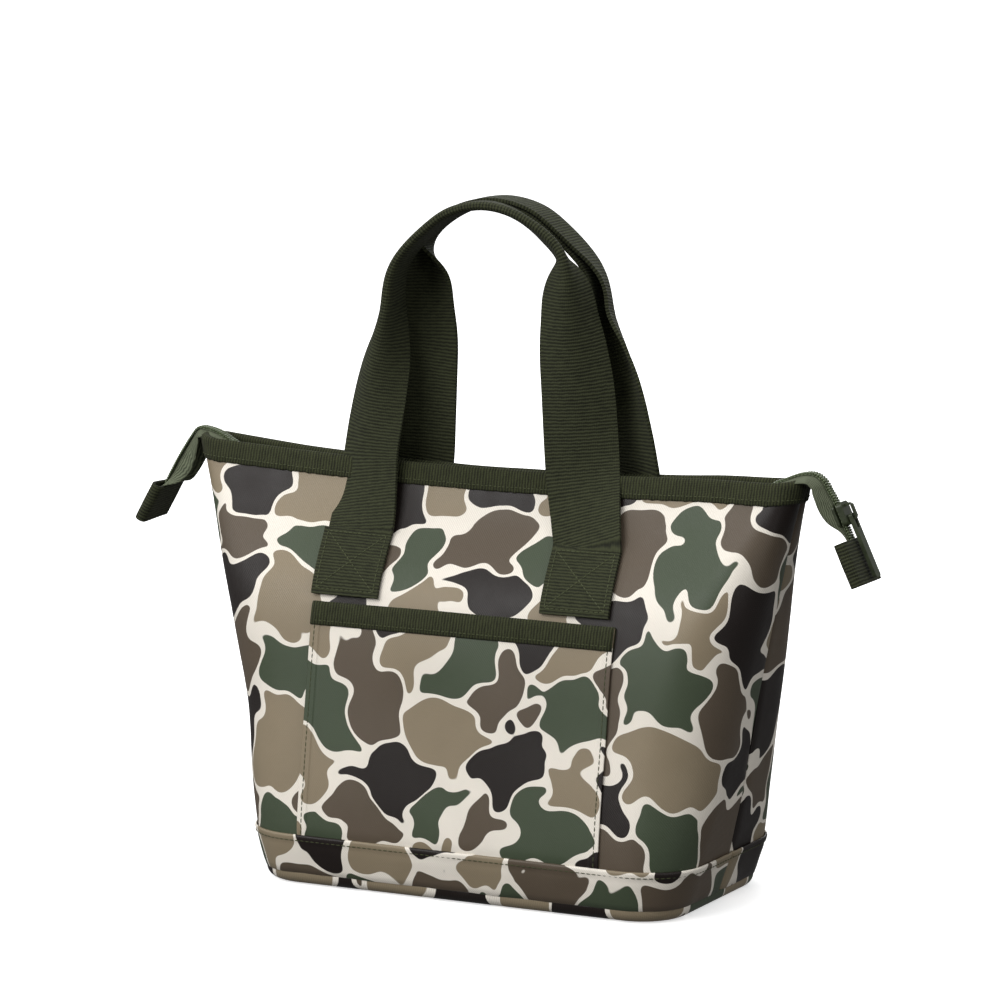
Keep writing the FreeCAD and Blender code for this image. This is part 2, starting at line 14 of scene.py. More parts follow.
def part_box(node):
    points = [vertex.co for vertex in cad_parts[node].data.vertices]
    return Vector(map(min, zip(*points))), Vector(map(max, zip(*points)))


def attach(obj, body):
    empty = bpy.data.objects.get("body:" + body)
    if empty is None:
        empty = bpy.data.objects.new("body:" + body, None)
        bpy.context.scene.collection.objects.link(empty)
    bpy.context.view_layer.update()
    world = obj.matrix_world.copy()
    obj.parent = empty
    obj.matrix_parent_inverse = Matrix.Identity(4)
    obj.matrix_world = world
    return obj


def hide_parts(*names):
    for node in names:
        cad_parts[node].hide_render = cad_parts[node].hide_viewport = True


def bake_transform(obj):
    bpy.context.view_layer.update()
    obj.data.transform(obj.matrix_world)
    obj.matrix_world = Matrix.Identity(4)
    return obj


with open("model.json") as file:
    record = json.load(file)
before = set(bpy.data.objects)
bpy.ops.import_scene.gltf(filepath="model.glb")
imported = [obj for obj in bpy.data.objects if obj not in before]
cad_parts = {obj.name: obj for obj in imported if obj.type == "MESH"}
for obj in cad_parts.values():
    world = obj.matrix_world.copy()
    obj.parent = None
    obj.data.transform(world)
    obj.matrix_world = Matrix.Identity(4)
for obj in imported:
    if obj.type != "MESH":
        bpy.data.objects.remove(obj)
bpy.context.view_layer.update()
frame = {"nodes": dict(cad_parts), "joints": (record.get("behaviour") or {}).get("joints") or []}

METRE = 1000.0
FACES = {"front": -1, "back": 1}
HANDS = {"left": -1, "right": 1}


def cad_box(node):
    """The lowest and highest corner of a node, in millimetres."""
    low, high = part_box(node)
    return low * METRE, high * METRE


# Driving places, from the frame.
RIM_TOP = cad_box("top_binding_front")[1].z - 1.0
MOUTH_HALF = cad_box("outer_shell_front")[1].x
BASE_HALF = cad_box("outer_base")[1].x - 0.9
BASE_DEPTH = cad_box("outer_base")[1].y - 0.9
SEAM = cad_box("base_band_front")[1].z
POCKET_LOW, POCKET_HIGH = cad_box("pocket_panel")
POCKET_HALF = POCKET_HIGH.x
POCKET_TOP = POCKET_HIGH.z
SEWN_FOOT = cad_box("handle_end_front_left")[0].z
SEWN_TOP = cad_box("handle_end_front_left")[1].z
STRAP_PLACE = (cad_box("handle_end_front_right")[0].x + cad_box("handle_end_front_right")[1].x) / 2
STRAP_WIDTH = cad_box("handle_end_front_right")[1].x - cad_box("handle_end_front_right")[0].x
BINDING_HEIGHT = RIM_TOP + 1.0 - cad_box("top_binding_front")[0].z
JOINTS = {joint["name"]: joint for joint in frame["joints"]}


# ------------------------------------------------------------------------------------------ mathematics


def smooth(value, low=0.0, high=1.0):
    """0 below low, 1 above high, and a smooth step between them."""
    place = min(max((value - low) / (high - low), 0.0), 1.0)
    return place * place * (3 - 2 * place)


def curve_through(points, value):
    """A smooth curve through rows of numbers, read at a value of their first column."""
    last = len(points) - 1
    index = next((i for i in range(last) if value <= points[i + 1][0]), last - 1)
    before, start = points[max(index - 1, 0)], points[index]
    end, after = points[index + 1], points[min(index + 2, last)]
    span = end[0] - start[0]
    place = min(max((value - start[0]) / span, 0.0), 1.0)
    result = []
    for column in range(1, len(start)):
        slope_in = (end[column] - before[column]) / (end[0] - before[0]) * span
        slope_out = (after[column] - start[column]) / (after[0] - start[0]) * span
        p2, p3 = place * place, place ** 3
        result.append((2 * p3 - 3 * p2 + 1) * start[column] + (p3 - 2 * p2 + place) * slope_in
                      + (3 * p2 - 2 * p3) * end[column] + (p3 - p2) * slope_out)
    return result


def steps(low, high, count):
    return [low + (high - low) * index / (count - 1) for index in range(count)]


# ----------------------------------------------------------------------------------------------- meshes


def make_mesh(name, points, faces, uvs, uv_name, smooth_faces=True):
    """A mesh object from points in millimetres, with one map in metres."""
    mesh = bpy.data.meshes.new(name)
    mesh.from_pydata([point / METRE for point in points], [], faces)
    layer = mesh.uv_layers.new(name=uv_name)
    for loop in mesh.loops:
        u, v = uvs[loop.vertex_index]
        layer.data[loop.index].uv = (u / METRE, v / METRE)
    mesh.polygons.foreach_set("use_smooth", [smooth_faces] * len(mesh.polygons))
    mesh.update()
    piece = bpy.data.objects.new(name, mesh)
    bpy.context.scene.collection.objects.link(piece)
    return piece


def make_grid(name, rows, uv_rows, uv_name="Print", closed=False):
    """A grid of quads through rows of points. closed joins the last column to the first."""
    width = len(rows[0])
    faces = []
    for row in range(len(rows) - 1):
        for column in range(width if closed else width - 1):
            right = (column + 1) % width
            below, above = row * width, (row + 1) * width
            faces.append((below + column, below + right, above + right, above + column))
    points = [point for row in rows for point in row]
    uvs = [uv for row in uv_rows for uv in row]
    return make_mesh(name, points, faces, uvs, uv_name)


def facing_out(face, *tables):
    """Rows from left to right, turned round for the back, so that their faces point outwards."""
    return [[row[::-1] for row in rows] if face == "back" else rows for rows in tables]


def thicken(piece, thickness, offset=-1.0):
    """Gives a sheet its thickness, on the inner side of its points unless offset says otherwise."""
    modifier = piece.modifiers.new("Thickness", "SOLIDIFY")
    modifier.thickness = thickness / METRE
    modifier.offset = offset
    modifier.use_even_offset = True
    return piece


def soften(piece, width, segments=2):
    """Rounds a piece's sharp edges."""
    modifier = piece.modifiers.new("Rounding", "BEVEL")
    modifier.width = width / METRE
    modifier.segments = segments
    modifier.limit_method = "ANGLE"
    return piece


def finish_piece(piece, body, slot, material, *nodes):
    """Gives a piece its material, and hides the CAD nodes it stands for; slot is not used. A piece laid over
    a joint has no body of its own.
    """
    piece.data.materials.append(material)
    if body:
        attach(piece, body)
    if nodes:
        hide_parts(*nodes)
    return piece


# ----------------------------------------------------------------------------------------------- fabric


# The wall's height, half width, half depth and corner radius at five levels.
WALL = (
    (0.0, BASE_HALF + 3.5, BASE_DEPTH, 24.0),
    (27.0, 124.5, 65.0, 31.0),
    (88.0, 137.0, 56.0, 36.0),
    (147.0, 150.5, 45.0, 32.0),
    (RIM_TOP, MOUTH_HALF, 12.8, 11.5),
)
# The soft bag leans: its foot stands a little to the right, and its mouth sways to the left.
LEAN = ((0.0, 2.5), (40.0, 3.0), (85.0, 2.8), (120.0, 1.2), (150.0, -0.6), (185.0, -2.6), (RIM_TOP, -4.0))
RIM_SAG = {"front": 6.8, "back": 8.0}
RIGHT_DROOP = 1.8
RIM_PINCH = 0.42
LAYERS = {"outer_shell": (0.0, 0.8), "foam": (1.8, 2.2), "liner": (4.2, 0.5)}


def half_girth(height):
    """The length of the wall from the middle of a face to a side seam."""
    half_width, half_depth, corner = curve_through(WALL, height)
    return (half_width - corner) + corner * math.pi / 2 + (half_depth - corner)


def outline(height, along):
    """The wall's plan at a height. along is the length from the middle of the front, to the right."""
    half_width, half_depth, corner = curve_through(WALL, height)
    side, run = math.copysign(1, along), abs(along)
    straight = half_width - corner
    if run <= straight:
        return side * run, -half_depth
    turn = (run - straight) / corner
    if turn <= math.pi / 2:
        across = straight + corner * math.sin(turn)
        return side * across, -(half_depth - corner + corner * math.cos(turn))
    return side * half_width, -(half_depth - corner) + (run - straight - corner * math.pi / 2)


def wall(face, along, height):
    """A point of the outer face of the soft wall, before small wrinkles."""
    x, y = outline(height, along)
    reach = 1 - min(abs(x) / MOUTH_HALF, 1.0) ** 2
    y *= 1 - RIM_PINCH * reach * smooth(height, 150, RIM_TOP)
    z = height - (RIM_SAG[face] * reach + RIGHT_DROOP * smooth(x, 115, 162)) * smooth(height, 130, RIM_TOP)
    return Vector((x + curve_through(LEAN, height)[0], -FACES[face] * y, z))


def wrinkle(face, along, height):
    """How far the fabric stands out from the wall's formula: broad dents, and puckers at the binding."""
    place = Vector((along / 38, height / 46, 3.7 * FACES[face]))
    free = smooth(abs(abs(along) - STRAP_PLACE), 19, 32) if height > POCKET_TOP else 1.0
    broad = 1.1 * noise.noise(place) * smooth(height, 20, 60)
    below = RIM_TOP - BINDING_HEIGHT - height
    pucker = 0.0
    if -3 < below < 40:
        pucker = 0.9 * noise.noise(Vector((along / 7.5, 5.1, FACES[face]))) * math.exp(-max(below, 0) / 11)
    return (broad + pucker) * free


def wall_normal(face, along, height):
    step = 0.5
    across = wall(face, along + step, height) - wall(face, along - step, height)
    up = wall(face, along, height + step) - wall(face, along, height - step)
    normal = across.cross(up) if face == "front" else up.cross(across)
    return normal.normalized()


def on_wall(face, along, height, out=0.0):
    """A point a distance outside the wrinkled wall."""
    lift = out + wrinkle(face, along, height)
    return wall(face, along, height) + wall_normal(face, along, height) * lift


def slant(height):
    """The length up the middle of the front wall to a height."""
    total, last = 0.0, wall("front", 0, 0)
    for level in steps(height / 12, height, 12):
        point = wall("front", 0, level)
        total += (point - last).length
        last = point
    return total


NEAR_SEAM = (0.3, 0.9, 1.8)


def columns(half, count):
    """Places from -half to half, closer together at both ends."""
    inner = steps(-(half - NEAR_SEAM[-1]), half - NEAR_SEAM[-1], count)
    edges = [half - distance for distance in NEAR_SEAM[:-1]]
    return [-half] + [-edge for edge in edges] + inner + edges[::-1] + [half]


def seam_dip(distance):
    """How far a seam pulls the fabric in, by distance from it."""
    return 0.9 * math.exp(-(distance / 1.6) ** 2)


def make_wall_layer(face, layer, spacing, material, slot, foot, top, print_shift=(0.0, 0.0)):
    """One face of one layer of the wall."""
    inset, thickness = LAYERS[layer]
    count = int(2 * half_girth(RIM_TOP) / spacing)
    rows, uv_rows = [], []
    for height in steps(foot, top, int((top - foot) / spacing) + 1):
        half = half_girth(height) + (-0.15 if layer == "outer_shell" else 0.1)
        squeeze = 1 - 0.35 * smooth(height, RIM_TOP - 25, RIM_TOP - 8)
        length = slant(height)
        row, uv_row = [], []
        for along in columns(half, count):
            out = -inset * squeeze - seam_dip(half - abs(along))
            row.append(on_wall(face, along, height, out))
            uv_row.append((along + print_shift[0], length + print_shift[1]))
        rows.append(row)
        uv_rows.append(uv_row)
    rows, uv_rows = facing_out(face, rows, uv_rows)
    piece = make_grid(f"{layer}_panel_{face}", rows, uv_rows)
    thicken(piece, thickness)
    finish_piece(piece, "bag", slot, material, f"{layer}_{face}")


def make_walls(materials):
    for face, side in FACES.items():
        shift = (140.0 * side, 60.0 * side)
        make_wall_layer(face, "foam", 6.0, materials["foam"], "foam", 6.5, RIM_TOP - 2)
        make_wall_layer(face, "outer_shell", 2.6, materials["print"], "camo_fabric", 3.0, RIM_TOP - 1, shift)
        make_wall_layer(face, "liner", 6.0, materials["liner"], "liner", 6.5, RIM_TOP - 2)


def make_base_plate(name, half, depth, corner, low, high, material, slot, node):
    """A hidden layer of the base: a rounded plate with flat faces and a rounded edge."""
    count = 96
    rows, middle = [], (low + high) / 2
    for scale, height in ((0.0, low), (0.6, low), (0.97, low), (1.0, middle), (0.97, high), (0.0, high)):
        row = []
        for index in range(count):
            angle = 2 * math.pi * index / count
            power = 2 / 5
            x = math.copysign(abs(math.cos(angle)) ** power, math.cos(angle)) * half
            y = math.copysign(abs(math.sin(angle)) ** power, math.sin(angle)) * depth
            row.append(Vector((x * scale, y * scale, height)))
        rows.append(row)
    uv_rows = [[(point.x, point.y) for point in row] for row in rows]
    piece = make_grid(name, rows, uv_rows, closed=True)
    finish_piece(piece, "bag", slot, material, node)


BASE_ROUND = 6.0
BAND_OUT = 0.9


def make_base(materials):
    """The printed base: flat underneath, with its edge turned up to the band's lower seam."""
    rows, uv_rows = [], []
    turned = [(BASE_ROUND * (1 - math.cos(a)), BASE_ROUND * (1 - math.sin(a)))
              for a in steps(0, math.pi / 2, 7)]
    for inset, height in [(0.0, BASE_ROUND + 0.6)] + turned:
        row = []
        for face in ("front", "back"):
            half = half_girth(BASE_ROUND)
            for along in steps(-half, half, 145)[:-1]:
                side = along if face == "front" else -along
                outward = wall_normal(face, side, BASE_ROUND)
                edge = wall(face, side, BASE_ROUND) + outward * (BAND_OUT - inset - 0.2)
                row.append(Vector((edge.x, edge.y, height)))
        rows.append(row)
        uv_rows.append([(point.x * 1.02, point.y * (1 + 0.01 * (height / BASE_ROUND))) for point in row])
    flat = rows[-1]
    for scale in (0.85, 0.6, 0.3, 0.01):
        rows.append([Vector((point.x * scale, point.y * scale, 0.0)) for point in flat])
        uv_rows.append([(point.x * scale, point.y * scale) for point in flat])
    piece = make_grid("base_panel", rows[::-1], uv_rows[::-1], closed=True)
    thicken(piece, 0.8)
    finish_piece(piece, "bag", "camo_fabric", materials["print"], "outer_base")
    foam_low, foam_high = cad_box("foam_base")
    liner_low, liner_high = cad_box("liner_base")
    make_base_plate("foam_base_sheet", foam_high.x, foam_high.y, 20, foam_low.z, foam_high.z,
                    materials["foam"], "foam", "foam_base")
    make_base_plate("liner_base_sheet", liner_high.x, liner_high.y, 18, liner_low.z, liner_high.z,
                    materials["liner"], "liner", "liner_base")


def make_band(face, materials):
    """The strip round the foot, with its top edge folded under."""
    profile = [(BASE_ROUND, BAND_OUT - 0.7), (BASE_ROUND + 0.7, BAND_OUT), (10, BAND_OUT + 0.1),
               (14, BAND_OUT), (18, BAND_OUT), (21, BAND_OUT + 0.1), (22.5, BAND_OUT), (24, BAND_OUT + 0.5),
               (SEAM - 1.2, BAND_OUT + 0.7), (SEAM - 0.3, BAND_OUT + 0.5), (SEAM, BAND_OUT - 0.2)]
    rows, uv_rows = [], []
    for height, out in profile:
        half = half_girth(height) - 0.1
        row, uv_row = [], []
        for along in columns(half, 130):
            wave = 0.35 * noise.noise(Vector((along / 16, height / 16, 9.0)))
            row.append(on_wall(face, along, height, out + wave - seam_dip(half - abs(along))))
            uv_row.append((along + 95, height + 310 + 40 * FACES[face]))
        rows.append(row)
        uv_rows.append(uv_row)
    rows, uv_rows = facing_out(face, rows, uv_rows)
    piece = make_grid(f"base_band_strip_{face}", rows, uv_rows)
    thicken(piece, 0.7)
    finish_piece(piece, "bag", "camo_fabric", materials["print"], f"base_band_{face}")


# ----------------------------------------------------------------------------------------------- pocket


def pocket_out(x, height):
    """How far the pocket's outer face stands off the wall."""
    reach = max(1 - (x / POCKET_HALF) ** 2, 0.0)
    rise = smooth(height, POCKET_LOW.z, POCKET_TOP)
    hem = 0.5 * smooth(abs(x), POCKET_HALF - 5.6, POCKET_HALF - 5.0)
    slack = 3.6 * reach ** 0.8 * rise
    return 1.0 + hem + slack + 0.5 * reach * noise.noise(Vector((x / 30, height / 34, 1.4)))


def on_pocket(x, height, out=0.0):
    """A point on the pocket. It hangs straight while the wall behind it leans, and its mouth sags."""
    behind = height - 2.8 * smooth(height, SEAM, POCKET_TOP)
    return on_wall("front", x - curve_through(LEAN, behind)[0], behind, pocket_out(x, height) + out)


def make_pocket(materials):
    edge = [POCKET_HALF - d for d in (0.0, 0.4, 2.5, 4.6, 5.0, 5.4, 5.8)]
    across = [-x for x in edge] + steps(-76, 76, 59) + edge[::-1]
    rows, uv_rows = [], []
    for height in steps(SEAM - 3.5, POCKET_TOP, 48):
        tuck = -0.9 * (1 - smooth(height, SEAM - 2, SEAM + 3))
        rows.append([on_pocket(x, height, tuck) for x in across])
        length = slant(height)
        uv_rows.append([(x + 420, length - 200) for x in across])
    piece = make_grid("pocket_front_panel", rows, uv_rows)
    thicken(piece, 0.8)
    finish_piece(piece, "bag", "camo_fabric", materials["print"], "pocket_panel")

    profile = ((11.4, 0.5), (10.6, 0.95), (7.0, 1.0), (3.0, 1.0), (0.4, 0.9), (-0.5, 0.3), (-0.7, -0.5),
               (-0.4, -1.3), (0.6, -1.75), (5.0, -1.8), (10.5, -1.8))
    rows, uv_rows = [], []
    for down, out in profile:
        rows.append([on_pocket(x, POCKET_TOP - down, out) for x in steps(-POCKET_HALF, POCKET_HALF, 69)])
        uv_rows.append([(x, -down + out) for x in steps(-POCKET_HALF, POCKET_HALF, 69)])
    piece = make_grid("pocket_edge_binding", rows, uv_rows, "Weave")
    thicken(piece, 0.6)
    finish_piece(piece, "bag", "binding", materials["binding"], "pocket_binding")


# ---------------------------------------------------------------------------------------------- binding


def rim_point(face, along, down, out):
    """A point of the tape over the rim, by how far it lies below the rim's top and outside the shell."""
    height = RIM_TOP - max(down, 0.0)
    lift = out + wrinkle(face, along, height)
    point = wall(face, along, height) + wall_normal(face, along, RIM_TOP - 4) * lift
    return point + Vector((0, 0, max(-down, 0.0)))


def make_top_binding(face, materials):
    depth = BINDING_HEIGHT - 1.0
    profile = ((depth, 0.45), (depth - 0.7, 0.95), (7.0, 1.05), (3.0, 1.05), (0.6, 0.95), (-0.5, 0.3),
               (-1.0, -0.8), (-1.0, -2.0), (-0.5, -3.2), (0.6, -3.8), (5.0, -3.9), (depth - 1, -3.9))
    half = half_girth(RIM_TOP) - 0.1
    places = columns(half, 260)
    rows, uv_rows = [], []
    for down, out in profile:
        fray = 0.5 * smooth(down, depth - 1.5, depth - 0.5) if out > 0 else 0.0
        rows.append([rim_point(face, along, down + fray * noise.noise(Vector((along / 2.6, 4.0, 0))), out)
                     for along in places])
        uv_rows.append([(along, out - down) for along in places])
    rows, uv_rows = facing_out(face, rows, uv_rows)
    piece = make_grid(f"rim_binding_{face}", rows, uv_rows, "Weave")
    thicken(piece, 0.6)
    finish_piece(piece, "bag", "binding", materials["binding"], f"top_binding_{face}")


# ---------------------------------------------------------------------------------------------- handles


STRAP_THICK = 1.8
SEWN_SPAN = {"early": 65.5, "late": 64.0}
# Up a leg: height, depth, lean to the left; then half span, twist and fold of the leg that folds early,
# and of the leg that folds late.
LEG = (
    (178.0, 27.9, 2.8, 65.5, 0, 0, 63.5, 0, 0),
    (190.0, 21.5, 2.9, 66.8, 4, 2, 59.5, 3, 0),
    (203.0, 15.5, 3.0, 68.5, 10, 6, 55.5, 8, 2),
    (216.0, 12.3, 3.0, 69.6, 16, 13, 52.8, 14, 5),
    (232.0, 11.8, 3.2, 69.0, 16, 26, 51.5, 18, 14),
    (256.0, 13.2, 3.4, 66.0, 9, 50, 50.4, 20, 25),
    (274.0, 15.0, 3.7, 61.0, -2, 70, 49.2, 22, 39),
    (290.0, 17.0, 4.4, 56.0, -8, 83, 49.2, 25, 54),
    (304.0, 18.5, 4.8, 52.8, -12, 85, 49.2, 26, 63),
    (314.0, 19.1, 4.9, 50.6, -10, 87, 49.0, 26, 72),
    (320.0, 19.4, 4.9, 48.6, -4, 88, 48.6, 24, 82),
)
# The folded edge of the grip, from the end of the early leg to the end of the late one: place and height.
GRIP = ((0, -46.4, 320.6), (1, -34.0, 332.0), (2, -19.0, 342.5), (3, -3.0, 347.0), (4, 12.0, 346.3),
        (5, 25.5, 341.8), (6, 37.0, 335.0), (7, 45.0, 327.5), (8, 48.4, 321.5))
GRIP_LEAN = 4.9
GRIP_DEPTH = 19.4
# How far the grip's free edges drop, from left to right.
GRIP_TILT = {
    "front": ((0, -4.0), (2, -2.0), (3.5, 8.0), (5, 22.0), (6, 28.0), (8, 31.0)),
    "back": ((0, 0.0), (4, 1.0), (8, 2.0)),
}


def leg_kind(face, hand):
    return "early" if (hand < 0) == (face == "front") else "late"


def sewn_point(face, hand, across, height, out):
    """A point over a strap's sewn end. across is measured towards the bag's middle."""
    along = hand * (SEWN_SPAN[leg_kind(face, hand)] - across) - 1.6
    return wall(face, along, height) + wall_normal(face, along, height) * out


def leg_stations(face, hand):
    """Up the loose part of a leg: the strap's middle, the way its edges fold, and how far."""
    side, stations = FACES[face], []
    for height in steps(180.5, 318.0, 64):
        depth, lean, *legs = curve_through(LEG, height)
        span, twist, fold = legs[:3] if leg_kind(face, hand) == "early" else legs[3:]
        turn = math.radians(twist)
        inward = Vector((-hand * math.sin(turn), -side * math.cos(turn), 0))
        stations.append((Vector((hand * span - lean, side * depth, height)), inward, math.radians(fold)))
    return stations


def grip_stations(face):
    """Along the grip from left to right: the folded edge, the way to the free edges, and the fold."""
    side = FACES[face]
    mirror = 1 if face == "front" else -1
    stations = []
    for share in steps(0, 8, 46):
        nudge = 0.05 if share < 8 else -0.05
        x, z = curve_through(GRIP, share)
        next_x, next_z = curve_through(GRIP, share + nudge)
        run = Vector((next_x - x, 0, next_z - z)).normalized() * math.copysign(1, nudge)
        centre = Vector((0, 1, 0)).cross(run)
        centre.x *= mirror
        from_left = share if face == "front" else 8 - share
        lower = math.radians(curve_through(GRIP_TILT[face], from_left)[0])
        inward = Vector((0, -side * math.cos(lower), 0)) + centre * math.sin(lower)
        stations.append((Vector((mirror * x - GRIP_LEAN, side * GRIP_DEPTH, z)), inward, math.radians(90)))
    return stations[::mirror]


def strap_section(station, along, side, places):
    """The strap's middle surface at one station, folded about its centre line."""
    middle, inward, fold = station
    inward = (inward - along * inward.dot(along)).normalized()
    across = inward.cross(along) * -side
    spread = 1.1 + 11 * max(1 - fold / math.radians(90), 0.0)
    section = []
    for place in places:
        reach, out, back = abs(place), 0.0, 0.0
        for step in range(16):
            part = (step + 0.5) / 16
            angle = fold * (1 - math.exp(-reach * part / spread)) / (1 - math.exp(-STRAP_WIDTH / 2 / spread))
            out += math.cos(angle) * reach / 16
            back += math.sin(angle) * reach / 16
        section.append(middle + across * math.copysign(out, place) + inward * back)
    return section


def settle(rows, middle, reach, passes):
    """Evens out the rows on either side of a place, most at the place itself."""
    for _ in range(passes):
        before = list(rows)
        for index in range(middle - reach, middle + reach):
            share = 0.5 * (1 - (abs(index + 0.5 - middle) / reach) ** 2)
            rows[index] = [point.lerp((low + high) / 2, share) for low, point, high
                           in zip(before[index - 1], before[index], before[index + 1])]


def strap_rows(face, places):
    """Rows of points from the left sewn end, over the grip, to the right sewn end."""
    side = FACES[face]
    stations = leg_stations(face, -1) + grip_stations(face) + leg_stations(face, 1)[::-1]
    loose = []
    for index, station in enumerate(stations):
        before, after = stations[max(index - 1, 0)][0], stations[min(index + 1, len(stations) - 1)][0]
        loose.append(strap_section(station, (after - before).normalized(), side, places))
    for joint in (len(leg_stations(face, -1)), len(stations) - len(leg_stations(face, 1))):
        settle(loose, joint, 9, 22)
    sewn = []
    for hand in HANDS.values():
        sewn.append([[sewn_point(face, hand, place, height, 1.0 + STRAP_THICK / 2) for place in places]
                     for height in steps(SEWN_FOOT, SEWN_TOP, 18)])
    return sewn[0] + loose + sewn[1][::-1]


def make_handle(face, materials):
    """One handle, from sewn end to sewn end, as one strip of webbing."""
    half = STRAP_WIDTH / 2
    places = [-half, -half + 0.5] + steps(-half + 2.0, -3.0, 8) + [-2.0, -1.2, -0.5, 0.5, 1.2, 2.0]
    places += steps(3.0, half - 2.0, 8) + [half - 0.5, half]
    rows = strap_rows(face, places)
    uv_rows, run, middle = [], 0.0, len(places) // 2
    for index, row in enumerate(rows):
        if index:
            run += (row[middle] - rows[index - 1][middle]).length
        uv_rows.append([(place, run) for place in places])
    piece = make_grid(f"{face}_handle_strap", rows, uv_rows, "Weave")
    thicken(piece, STRAP_THICK, 0.0)
    soften(piece, 0.4)
    nodes = [f"{face}_handle_loop"] + [f"handle_end_{face}_{hand}" for hand in HANDS]
    finish_piece(piece, None, "webbing", materials["webbing"], *nodes)
    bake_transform(piece)
    return piece


# -------------------------------------------------------------------------------------------------- zip


ZIP_RECESS = 6.0
COIL_LIFT = 0.9
COIL_PITCH = 1.3
TAPE_INNER = 0.15


def tail_point(hand, reach, lift=0.0):
    """A point of a tail's own line, by reach from its hinge and lift off its tape."""
    joint = JOINTS[f"{hand}_tail_lift"]
    hinge = Vector(joint["pos_m"]) * METRE
    droop = math.radians(joint["range_deg"][1])
    along = Vector((HANDS[hand] * math.cos(droop), 0, -math.sin(droop)))
    up = Vector((HANDS[hand] * math.sin(droop), 0, math.cos(droop)))
    return hinge + along * reach + up * lift


# Each end of the zip, outward from the mouth: distance before the hinge, height over the rim, half width and
# droop of the tape's edges; then along the tail: reach, lift, half width and droop.
TAIL_START = {
    "left": ((22, -3.4, 5.6, 0.3), (15, 0.4, 6.4, 1.2), (9, 2.2, 7.6, 3.0), (3, 2.4, 7.8, 5.0)),
    "right": ((26, -5.0, 5.6, 0.3), (19, -1.9, 7.6, 1.4), (12, 0.8, 9.4, 2.8), (5, 1.5, 9.8, 3.4)),
}
TAIL = {
    "left": ((5, -1.0, 7.2, 7.4), (12, -0.4, 6.0, 9.6), (20, 0.0, 5.4, 10.0), (28, 0.0, 6.4, 7.6),
             (34, 0.0, 9.4, 1.4), (39, 0.0, 10.2, 0.3)),
    "right": ((3, -1.4, 9.4, 3.8), (8, -0.8, 9.6, 5.2), (14, 0.0, 9.3, 6.2), (23, 0.0, 7.4, 5.0),
              (29, 0.0, 4.6, 2.0), (34, 0.0, 4.0, 0.5), (39, 0.0, 4.4, 0.3)),
}


def zip_stations(hand):
    """The zip's line from the bag's middle to a tail's end: place, half width and droop of its edges."""
    side, result = HANDS[hand], []
    for x in steps(0, 150, 7):
        rim = wall("front", side * x, RIM_TOP)
        half = max(abs(rim.y) - 4.2, TAPE_INNER + 1.2)
        result.append((Vector((side * x, 0, rim.z - ZIP_RECESS)), half, 0.0))
    hinge = tail_point(hand, 0)
    for before, rise, half, droop in TAIL_START[hand]:
        result.append((Vector((hinge.x - side * before, 0, RIM_TOP + rise)), half, droop))
    for reach, lift, half, droop in TAIL[hand]:
        result.append((tail_point(hand, reach, lift), half, droop))
    return result


def zip_line(hand, spacing=1.6):
    """Evenly spaced stations along the zip's smooth line: place, direction, outer side, half width, droop."""
    rough = zip_stations(hand)
    length, table = 0.0, []
    for index, (place, half, droop) in enumerate(rough):
        if index:
            length += (place - rough[index - 1][0]).length
        table.append((length, place.x, place.z, half, droop))
    fine = [curve_through(table, run) for run in steps(0, length, int(length / spacing))]
    line = []
    for index, (x, z, half, droop) in enumerate(fine):
        before, after = fine[max(index - 1, 0)], fine[min(index + 1, len(fine) - 1)]
        along = Vector((after[0] - before[0], 0, after[1] - before[1])).normalized()
        up = Vector((0, HANDS[hand], 0)).cross(along) * -1
        line.append((Vector((x, 0, z)), along, up, half, droop))
    return line


def make_tape(face, hand, materials):
    """Half of one zip tape: from the bag's middle out to the end of a tail."""
    side = FACES[face]
    rows, uv_rows = [], []
    for index, (place, along, up, half, droop) in enumerate(zip_line(hand)):
        row, uv_row = [], []
        for share in steps(0, 1, 9):
            y = TAPE_INNER + (half - TAPE_INNER) * share
            ripple = 0.35 * share * noise.noise(Vector((index / 6, side, HANDS[hand])))
            row.append(place + Vector((0, side * y, 0)) - up * (droop * share ** 1.6 + ripple))
            uv_row.append((side * y, index * 1.6))
        rows.append(row)
        uv_rows.append(uv_row)
    piece = make_grid(f"zip_tape_strip_{face}_{hand}", rows, uv_rows, "Weave")
    thicken(piece, 0.5, 0.0)
    nodes = [f"zip_tape_{face}_{hand}_tail"] + ([f"zip_tape_{face}"] if hand == "left" else [])
    finish_piece(piece, None, "zip_tape", materials["tape"], *nodes)
    blend_tail(piece)


def blend_tail(piece):
    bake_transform(piece)


def rounded_block(size, centre, axes, rings=((-1, 0.72), (-0.6, 1), (0.6, 1), (1, 0.72)), around=8):
    """Points and faces of a small block with rounded sides, its long axis first."""
    points = []
    for place, width in rings:
        for index in range(around):
            angle = 2 * math.pi * (index + 0.5) / around
            x, y = math.cos(angle), math.sin(angle)
            grow = 1 / max(abs(x), abs(y)) * 0.86
            points.append(centre + axes[0] * size[0] * place + axes[1] * size[1] * width * x * grow
                          + axes[2] * size[2] * width * y * grow)
    faces = []
    for ring in range(len(rings) - 1):
        for index in range(around):
            right = (index + 1) % around
            faces.append((ring * around + index, ring * around + right,
                          (ring + 1) * around + right, (ring + 1) * around + index))
    faces.append(tuple(range(around))[::-1])
    faces.append(tuple((len(rings) - 1) * around + index for index in range(around)))
    return points, faces


def join_blocks(name, blocks):
    """One mesh from many small blocks."""
    points, faces = [], []
    for block_points, block_faces in blocks:
        base = len(points)
        points += block_points
        faces += [tuple(base + corner for corner in face) for face in block_faces]
    return make_mesh(name, points, faces, [(point.x, point.z) for point in points], "Weave")


